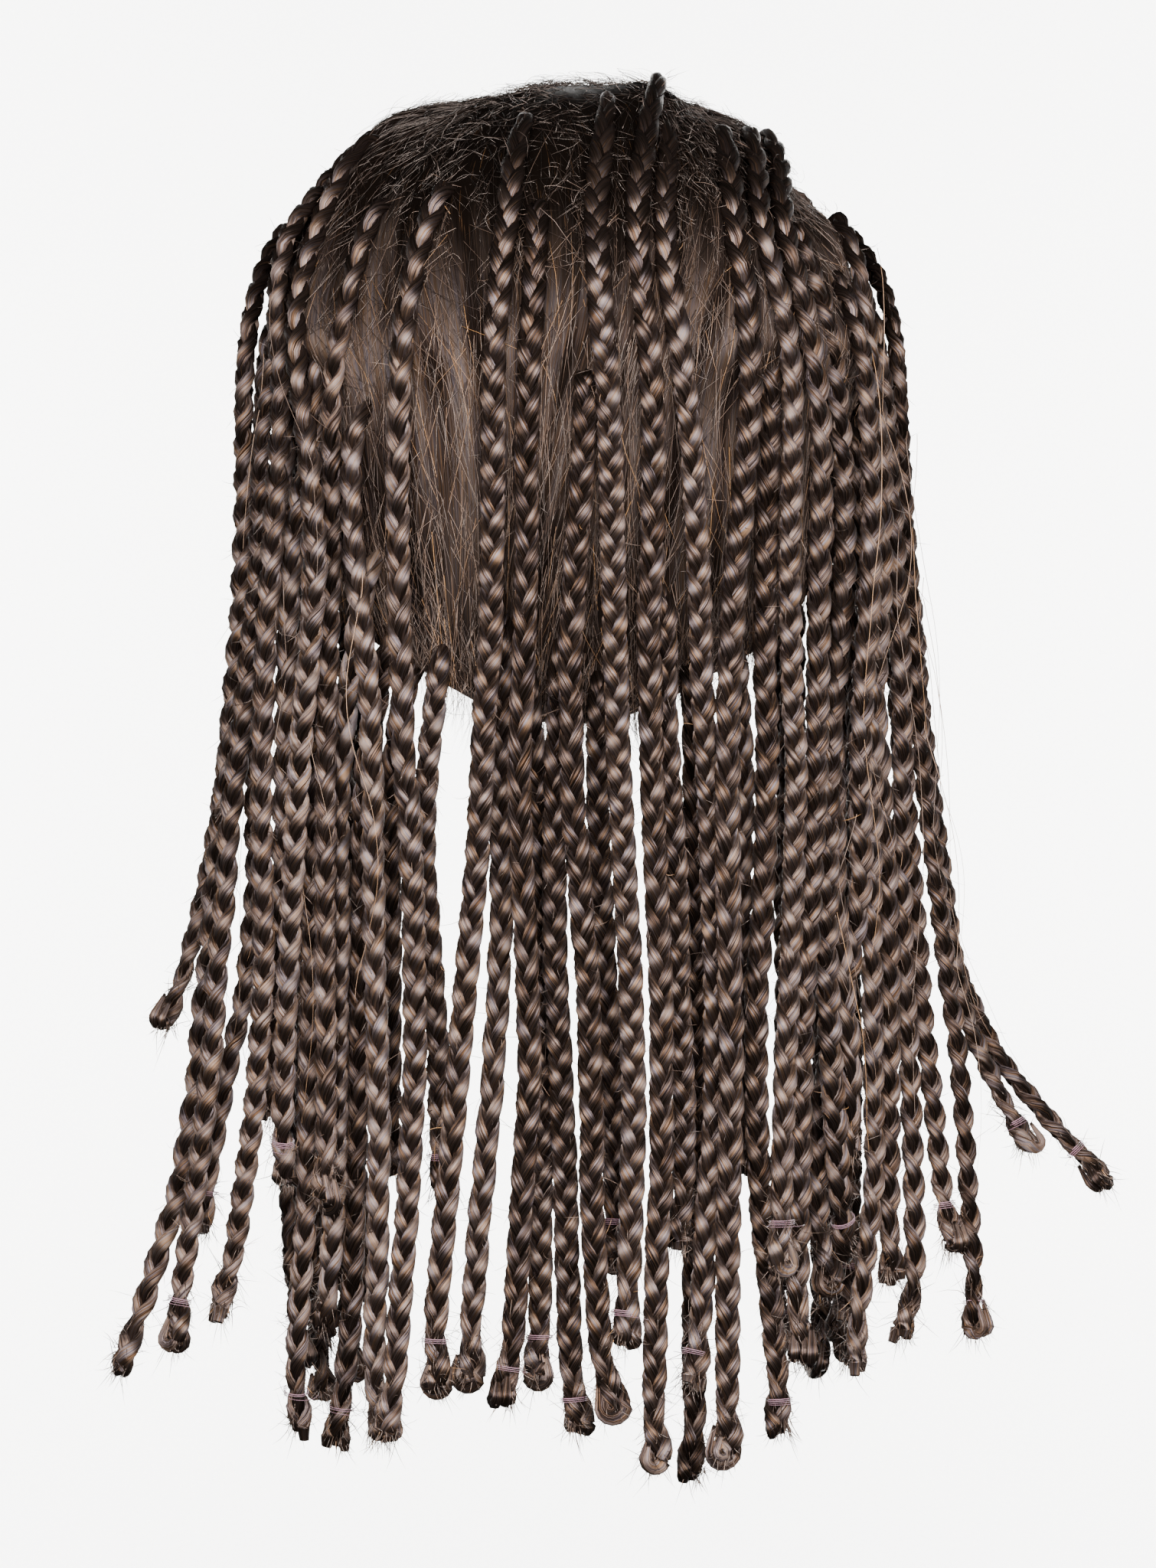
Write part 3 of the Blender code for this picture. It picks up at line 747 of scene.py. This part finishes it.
feet, heights = [], []
for name in BRAID_NODES:
    line = routes[name][2:]
    line = line[line[:, 2] > FULL_ABOVE]
    starts, falls = comb_place(line)
    foot = head_surface(starts + comb_bend(starts, falls), falls, 0)
    feet.append(foot)
    heights.append(np.linalg.norm(line - foot, axis=1) - UNDER_BRAID)
feet = np.concatenate(feet)
heights = np.clip(np.concatenate(heights), 0, FULLEST)


def shoulder_rise(points):
    """How far the hair is drawn up over the two sides of the crown, before the line of the ears."""
    across, forward = points[:, 0] / half_breadth, points[:, 1] / half_length
    up = (points[:, 2] - HEAD_MIDDLE[2]) / crown_rise
    side = np.exp(-(((np.abs(across) - SHOULDER_ACROSS) / SHOULDER_REACH) ** 2))
    front = smooth_step((forward + SHOULDER_BACK) / SHOULDER_FADE)
    return SHOULDER_RISE * side * front * smooth_step((up - SHOULDER_UP) / SHOULDER_UP_FADE)


def fullness(points):
    """How far the hair rises above the plain layer at points on it."""
    flat = points.reshape(-1, 3)
    rises = []
    for part in np.array_split(flat, max(1, len(flat) // POINTS_AT_ONCE)):
        apart = ((part[:, None] - feet[None]) ** 2).sum(-1)
        rises.append((heights * np.exp(-apart / (2 * FULL_REACH**2))).max(axis=1))
    return (np.concatenate(rises) + shoulder_rise(flat)).reshape(points.shape[:-1])


print("the hair rises up to", round(heights.max() / MM, 1), "mm to the braids")

# %% [markdown]
# ## Painted shade at the crown
# The top of the head turns away from the camera and its light, and the roots stand up there, so the hair
# looks
# nearly black. That shade is painted: a tone on every point of the layer darkens its colour and its shine
# there.

# %% Say where shade is painted at the crown
CROWN_PAINTED_SHADE = 0.42
CROWN_EDGE = 1.20
CROWN_FADE = 0.55


def crown_shade_share(fall):
    """How much shade is painted on: one at the crown, none below it, by the angle down from it."""
    return smooth_step((CROWN_EDGE - fall) / CROWN_FADE)


print("the crown darkens above", round(math.degrees(CROWN_EDGE)), "degrees from the top")

# %% [markdown]
# ## Combing
# A comb leaves ridges, wide ones with thin ones between them, that run with the hair. Two noises that are
# drawn out along the comb's way give both. The fibre map is laid along the same way, and then the layer gets
# its wall.

# %% Comb the layer
HEAD_RADIUS_MM = 96.0
WIDE_RIDGE_MM = 6.0
THIN_RIDGE_MM = 1.9
RIDGE_LENGTH_MM = 70.0
COMB_RELIEF = 1.5 * MM
WIDE_SHARE, THIN_SHARE = 0.65, 0.35
EASE_AT_CROWN = 2.5
OTHER_NOISE = 9

points = np.array([vertex.co for vertex in combed.data.vertices])
starts, falls = comb_place(points)
corners = np.array([loop.vertex_index for loop in combed.data.loops])
faces_of_corners = np.repeat(
    np.arange(len(combed.data.polygons)), [face.loop_total for face in combed.data.polygons]
)
first_corner = np.array([face.loop_start for face in combed.data.polygons])
turned = starts[corners]
reference = turned[first_corner][faces_of_corners]
turned = reference + (turned - reference + math.pi) % (2 * math.pi) - math.pi
layer = combed.data.uv_layers[0]
layer.name = "fibre"
layer.data.foreach_set(
    "uv", (np.stack([turned, falls[corners]], axis=1) * HEAD_RADIUS_MM).astype(np.float32).ravel()
)

relief = []
for start, fall in zip(starts, falls):
    ring = np.array((math.sin(start), math.cos(start))) * HEAD_RADIUS_MM
    down = fall * HEAD_RADIUS_MM / RIDGE_LENGTH_MM
    wide = noise.noise(Vector((*(ring / WIDE_RIDGE_MM), down)))
    thin = noise.noise(Vector((*(ring / THIN_RIDGE_MM), down + OTHER_NOISE)))
    crown_ease = min(1.0, EASE_AT_CROWN * math.sin(min(fall, math.pi / 2)))
    relief.append(crown_ease * (WIDE_SHARE * wide + THIN_SHARE * thin))
normals = np.array([vertex.normal for vertex in combed.data.vertices])
points += normals * (COMB_RELIEF * np.array(relief) + fullness(points))[:, None]
combed.data.vertices.foreach_set("co", points.ravel())
# The layer's tone is the painted shade of the crown, which darkens its colour and shine there.
combed.data.attributes.new("tone", "FLOAT", "POINT").data.foreach_set(
    "value", (-CROWN_PAINTED_SHADE * crown_shade_share(falls)).astype(np.float32)
)
combed.data.update()

bpy.ops.object.select_all(action="DESELECT")
combed.select_set(True)
bpy.context.view_layer.objects.active = combed
bpy.ops.object.modifier_add(type="SOLIDIFY")
combed.modifiers["Solidify"].thickness = HAIR_WALL
combed.modifiers["Solidify"].offset = -1
bpy.ops.object.modifier_apply(modifier="Solidify")
bpy.ops.object.shade_smooth()
combed_fibre = fibre_material(
    "combed_modacrylic_fibre",
    ("#060403", "#0e0a08", "#1e1611"),
    gold_share=0.03,
    roughness=0.66,
    level=0.35,
    streak_size=(0.40, 22.0),
    lock_size=(8.0, 42.0),
    lock_weight=0.55,
)
combed.data.materials.clear()
combed.data.materials.append(combed_fibre)
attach(combed, "root")
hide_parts("base_hair")
print("combed layer", len(combed.data.polygons), "faces")

# %% [markdown]
# ## Loose hairs
# What makes hair look like hair is what doesn't lie in order: fine hairs that cross the combed ones, short
# ones that stand off a plait, a haze over the crown. Each is a thin three-sided spike, closed at its root
# and drawn to a point, and thousands of them are joined in one mesh. They are drawn a little thicker than
# real ones, which would be too thin for the picture.

# %% Make the loose hair's material and mesh
loose_hair, tree, surface = material("loose_modacrylic_hair")
tone = node(tree, "ShaderNodeAttribute", attribute_name="tone")
stops = [(0.0, "#080605"), (0.5, "#281e19"), (0.85, "#57453a"), (1.0, "#8f673f")]
shader = node(
    tree,
    "ShaderNodeBsdfPrincipled",
    {
        "Base Color": ramp(tree, tone.outputs["Fac"], stops),
        "Roughness": 0.42,
        "IOR": FIBRE_IOR,
        "Specular IOR Level": 0.8,
        "Specular Tint": linear("#ffe9dd"),
    },
)
tree.links.new(shader.outputs["BSDF"], surface)


HAIR_TAPER = 0.6
ANY_WAY = (0.37, 0.61, 0.70)


def hair_mesh(name, lines, half_thickness, tone, finish):
    """Many hairs as one mesh, where lines holds the points of each from its root to its tip."""
    count, stations, _ = lines.shape
    along = unit(np.gradient(lines, axis=1))[:, :-1]
    side = unit(np.cross(along, ANY_WAY))
    up = np.cross(side, along)
    taper = half_thickness * (1 - HAIR_TAPER * np.arange(stations - 1) / (stations - 1))
    turn = 2 * math.pi * np.arange(3) / 3
    rings = lines[:, :-1, None] + taper[None, :, None, None] * (
        side[:, :, None] * np.cos(turn)[:, None] + up[:, :, None] * np.sin(turn)[:, None]
    )
    points = np.concatenate([rings.reshape(count, -1, 3), lines[:, -1:]], axis=1)
    each = points.shape[1]
    quads, ends = [], [[2, 1, 0]]
    for ring in range(stations - 2):
        for corner in range(3):
            after = (corner + 1) % 3
            here, there = ring * 3, ring * 3 + 3
            quads.append([here + corner, here + after, there + after, there + corner])
    last = (stations - 2) * 3
    for corner in range(3):
        ends.append([last + corner, last + (corner + 1) % 3, each - 1])
    first = (np.arange(count) * each)[:, None, None]
    faces = (first + np.array(quads)).reshape(-1, 4).tolist()
    faces += (first + np.array(ends)).reshape(-1, 3).tolist()
    mesh = bpy.data.meshes.new(name)
    mesh.from_pydata(points.reshape(-1, 3), [], faces)
    mesh.attributes.new("tone", "FLOAT", "POINT").data.foreach_set(
        "value", np.repeat(tone, each).astype(np.float32)
    )
    mesh.shade_smooth()
    mesh.materials.append(finish)
    piece = bpy.data.objects.new(name, mesh)
    bpy.context.scene.collection.objects.link(piece)
    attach(piece, "root")
    print(name, count, "hairs,", len(faces), "faces")
    return piece


# %% [markdown]
# ## Fine hairs on the combed layer
# Single hairs part from the combed ones, run beside them for a few centimetres and cross them at a small
# angle. Some are lighter. More of them lie near the hair line, where they end just below it.

# %% Lay the fine hairs of the combed layer
FINE_HAIRS = 11000
FINE_HALF_THICKNESS = 0.10 * MM
RIM_HAIR_SHARE = 0.12
LIGHT_HAIR_SHARE = 0.35
BELOW_RIM = 0.07


def rim_fall(azimuth):
    """How far down from the crown the hair line is."""
    y = -half_length * np.cos(azimuth)
    rim = RIM_MIDDLE + RIM_SLOPE * y - HEAD_MIDDLE[2]
    return np.arccos(np.clip(rim / NAPE_BELOW_MIDDLE, -1, 1))


def combed_lines(starts, falls, spans, strays, lifts, stations):
    """Hairs on the layer: where they start, how far they run, how they stray aside and how they rise."""
    share = np.linspace(0, 1, stations)[None]
    fall = falls[:, None] + spans[:, None] * share
    start = starts[:, None] + strays[:, None] * share / np.maximum(np.sin(fall), 0.3)
    azimuth = start + comb_bend(start, fall)
    lift = lifts[0][:, None] + (lifts[1] - lifts[0])[:, None] * share**2
    return head_surface(azimuth, fall, lift + fullness(head_surface(azimuth, fall, 0)))


starts = random.uniform(-math.pi, math.pi, FINE_HAIRS)
shares = np.sqrt(random.uniform(0.02, 0.96, FINE_HAIRS))
at_rim = random.uniform(0, 1, FINE_HAIRS) < RIM_HAIR_SHARE
shares[at_rim] = random.uniform(0.90, 0.99, at_rim.sum())
falls = rim_fall(starts) * shares
spans = np.minimum(random.uniform(0.10, 0.36, FINE_HAIRS), rim_fall(starts) + BELOW_RIM - falls)
strays = random.normal(0, 0.11, FINE_HAIRS)
lifts = random.uniform(0.1, 0.7, FINE_HAIRS) * MM, random.exponential(1.1, FINE_HAIRS) * MM
lines = combed_lines(starts, falls, spans, strays, lifts, 4)
light = random.uniform(0, 1, FINE_HAIRS) < LIGHT_HAIR_SHARE
tones = np.where(light, random.normal(0.78, 0.10, FINE_HAIRS), random.normal(0.36, 0.14, FINE_HAIRS))
# The crown's painted shade darkens these hairs too.
tones = np.clip(tones - CROWN_PAINTED_SHADE * crown_shade_share(falls), 0, 1)
hair_mesh("fine_combed_hair", lines, FINE_HALF_THICKNESS, tones, loose_hair)

# %% [markdown]
# ## Short curls at the crown
# Short new hairs at the crown lie every way, bend to one side and stand a little off the head. They make
# the fuzz that the outline has at the top.

# %% Curl the short hairs of the crown
CURLS = 2600
CURL_LIFT = 0.4 * MM
CURL_ARCH = 2.2
starts = random.uniform(-math.pi, math.pi, CURLS)
falls = random.uniform(0.05, 1.25, CURLS)
azimuths = starts + comb_bend(starts, falls)
roots = head_surface(azimuths, falls, 0)
normals = unit(roots - HEAD_MIDDLE)
roots = roots + normals * fullness(roots)[:, None]
ways = unit(np.cross(normals, random.normal(0, 1, (CURLS, 3))))
sides = np.cross(normals, ways)
sizes = random.uniform(4, 12, CURLS)[:, None, None] * MM
share = np.linspace(0, 1, 5)[None, :, None]
bends = random.normal(0, 0.5, CURLS)[:, None, None]
rises = np.abs(random.normal(0.12, 0.12, CURLS))[:, None, None]
lines = (
    roots[:, None]
    + ways[:, None] * sizes * share
    + sides[:, None] * sizes * bends * np.sin(share * math.pi)
    + normals[:, None] * (CURL_LIFT + sizes * rises * np.sin(share * CURL_ARCH))
)
# The crown's painted shade darkens these curls too.
tones = np.clip(random.normal(0.5, 0.18, CURLS) - CROWN_PAINTED_SHADE * crown_shade_share(falls), 0, 1)
hair_mesh("crown_curls", lines, FINE_HALF_THICKNESS, tones, loose_hair)

# %% [markdown]
# ## Frizz on the plaits
# Filaments that slip out of the crossings stand off a plait all along it, and more of them near its end. Each
# starts at the plait's surface, leans towards the tip and bends a little.

# %% Let short hairs stand off the plaits
FRIZZ_PER_BRAID = 110
FRIZZ_HALF_THICKNESS = 0.11 * MM
FRIZZ_AT_END = 22 * MM
END_SHARE = 0.3
SURFACE_WIDE, SURFACE_DEEP = 3.4 * MM, 2.4 * MM
FORWARD_LEAN = 0.6
lines, tones = [], []
for name in BRAID_NODES:
    line = routes[name]
    along, across, out = route_frame(line)
    at_end = random.uniform(0, 1, FRIZZ_PER_BRAID) < END_SHARE
    places = random.uniform(0.02, 1.0, FRIZZ_PER_BRAID) * lengths[name]
    places[at_end] = lengths[name] - random.uniform(0, FRIZZ_AT_END, at_end.sum())
    middle, run, wide, front = at_length([line, along, across, out], places)
    turn = random.uniform(0, 2 * math.pi, FRIZZ_PER_BRAID)[:, None]
    off = wide * np.cos(turn) * SURFACE_WIDE + front * np.sin(turn) * SURFACE_DEEP
    side = unit(wide * np.cos(turn) + front * np.sin(turn))
    slant = random.normal(0, 0.8, FRIZZ_PER_BRAID)[:, None]
    way = unit(side * random.uniform(0.4, 1.0, FRIZZ_PER_BRAID)[:, None] + run * (slant + FORWARD_LEAN))
    size = random.uniform(2.5, 8, FRIZZ_PER_BRAID)[:, None, None] * MM
    curve = random.normal(0, 0.25, (FRIZZ_PER_BRAID, 1, 3))
    share = np.linspace(0, 1, 4)[None, :, None]
    lines.append((middle + off)[:, None] + way[:, None] * size * share + curve * size * share**2)
    tones.append(np.clip(random.normal(0.5, 0.2, FRIZZ_PER_BRAID), 0, 1))
lines, tones = np.concatenate(lines), np.concatenate(tones)
hair_mesh("plait_frizz", lines, FRIZZ_HALF_THICKNESS, tones, loose_hair)

# %% [markdown]
# ## Frayed ends
# Each braid is folded back at its end and bound. The folded fibre frays, so short bright hairs stand out
# of it: most of them ahead like a brush, and the others to all sides.

# %% Fray the ends
TUFT_HAIRS = 60
TUFT_HALF_THICKNESS = 0.17 * MM
BRUSH_SHARE = 0.6
lines, tones = [], []
for name, blunt, fold_side, fold_lean in ends:
    line = routes[name]
    along, across, out = route_frame(line)
    brush = random.uniform(0, 1, TUFT_HAIRS) < BRUSH_SHARE
    places = lengths[name] - np.where(
        brush, random.uniform(0, 4, TUFT_HAIRS), random.uniform(0, 14, TUFT_HAIRS)
    ) * MM
    middle, run, wide, front = at_length([line, along, across, out], places)
    turn = random.uniform(0, 2 * math.pi, TUFT_HAIRS)[:, None]
    side = wide * np.cos(turn) + front * np.sin(turn)
    start = random.uniform(0.5, 3.2, TUFT_HAIRS)[:, None] * MM
    size = random.uniform(3, 8, TUFT_HAIRS)[:, None, None] * MM
    lean = np.where(brush, random.uniform(0.0, 0.5, TUFT_HAIRS), random.uniform(0.6, 1.6, TUFT_HAIRS))
    ahead = np.where(brush, 1.0, random.choice((-1.0, 1.0), TUFT_HAIRS))
    way = unit(run * ahead[:, None] + side * lean[:, None])
    curve = random.normal(0, 0.35, (TUFT_HAIRS, 1, 3))
    share = np.linspace(0, 1, 4)[None, :, None]
    lines.append((middle + side * start)[:, None] + way[:, None] * size * share + curve * size * share**2)
    tones.append(np.clip(random.normal(0.45, 0.2, TUFT_HAIRS), 0, 1))
lines, tones = np.concatenate(lines), np.concatenate(tones)
hair_mesh("frayed_ends", lines, TUFT_HALF_THICKNESS, tones, loose_hair)

# %% [markdown]
# ## Binding threads
# On some braids the mauve thread that binds the end can be seen. It is wound a few times round the neck,
# and its loose end hangs out.

# %% Wind the binding threads
THREAD_SHARE = 0.4
THREAD_STATIONS = 44
THREAD_PITCH = 0.55 * MM
THREAD_HALF_THICKNESS = 0.16 * MM
THREAD_WIDE, THREAD_DEEP = 4.1 * MM, 3.3 * MM
THREAD_SLACK = 0.9
thread, tree, surface = material("mauve_binding_thread")
shader = node(
    tree,
    "ShaderNodeBsdfPrincipled",
    {"Base Color": linear("#6b4552"), "Roughness": 0.6, "Sheen Weight": 0.3},
)
tree.links.new(shader.outputs["BSDF"], surface)
lines = []
for name in BRAID_NODES:
    if random.uniform() > THREAD_SHARE:
        continue
    line = routes[name]
    along, across, out = route_frame(line)
    turns = random.uniform(2.5, 4.5)
    turn = np.linspace(0, 2 * math.pi * turns, THREAD_STATIONS)
    low = lengths[name] - random.uniform(8, 16) * MM
    places = low + THREAD_PITCH * turn / (2 * math.pi)
    middle, run, wide, front = at_length([line, along, across, out], places)
    slack = 1 + THREAD_SLACK * np.maximum(0, np.linspace(-4, 1, THREAD_STATIONS))
    wound = (
        middle
        + wide * (np.cos(turn) * THREAD_WIDE * slack)[:, None]
        + front * (np.sin(turn) * THREAD_DEEP * slack)[:, None]
    )
    lines.append(wound)
plain = np.zeros(len(lines))
hair_mesh("binding_threads", np.array(lines), THREAD_HALF_THICKNESS, plain, thread)

# %% [markdown]
# ## Long golden strands
# Along both sides a few long light hairs have come loose. Each follows a side braid and swings slowly about
# it, so it hangs free and still stays with the hair.

# %% Let a few long golden strands hang along the sides
LONG_STRANDS = 30
STRAND_STATIONS = 40
LONG_HALF_THICKNESS = 0.12 * MM
BEFORE_BRAID = 2 * MM
lines = []
side_braids = [name for name in BRAID_NODES if "left" in name or "right" in name]
for name in random.choice(side_braids, LONG_STRANDS):
    line = routes[name]
    along, across, out = route_frame(line)
    first = random.uniform(0.1, 0.5) * lengths[name]
    last = min(lengths[name], first + random.uniform(60, 190) * MM)
    places = np.linspace(first, last, STRAND_STATIONS)
    middle, run, wide, front = at_length([line, along, across, out], places)
    swing = [
        random.uniform(2.5, 5.5)
        * MM
        * np.sin(places / random.uniform(14 * MM, 40 * MM) + random.uniform(0, 6))
        for _ in range(2)
    ]
    lines.append(middle + wide * swing[0][:, None] + front * (BEFORE_BRAID + np.abs(swing[1]))[:, None])
tones = random.uniform(0.75, 1.0, LONG_STRANDS)
hair_mesh("long_golden_strands", np.array(lines), LONG_HALF_THICKNESS, tones, loose_hair)

# %% [markdown]
# ## The net cap
# The cap is a knitted stretch net under the hair. It is seen only from inside and below, so the solid
# model's own wall stays and gets the look of a net: dark threads round small cells, with the cells sunk.

# %% Dress the cap
NET_CELL = 2.0 * MM
NET_RELIEF = 0.4 * MM
net, tree, surface = material("knitted_stretch_net")
place = node(tree, "ShaderNodeTexCoord")
cells = node(
    tree,
    "ShaderNodeTexVoronoi",
    {"Vector": place.outputs["Object"], "Scale": 1 / NET_CELL, "Randomness": 0.35},
    feature="DISTANCE_TO_EDGE",
)
colour = ramp(tree, cells.outputs["Distance"], [(0.06, "#2a2320"), (0.16, "#0c0a09")])
relief = node(
    tree,
    "ShaderNodeBump",
    {"Height": cells.outputs["Distance"], "Strength": 0.8, "Distance": NET_RELIEF},
    invert=True,
)
shader = node(
    tree,
    "ShaderNodeBsdfPrincipled",
    {"Base Color": colour, "Roughness": 0.8, "Normal": relief.outputs["Normal"]},
)
tree.links.new(shader.outputs["BSDF"], surface)
cap = frame["nodes"]["cap"]
cap.data.materials.clear()
cap.data.materials.append(net)
print("cap dressed")
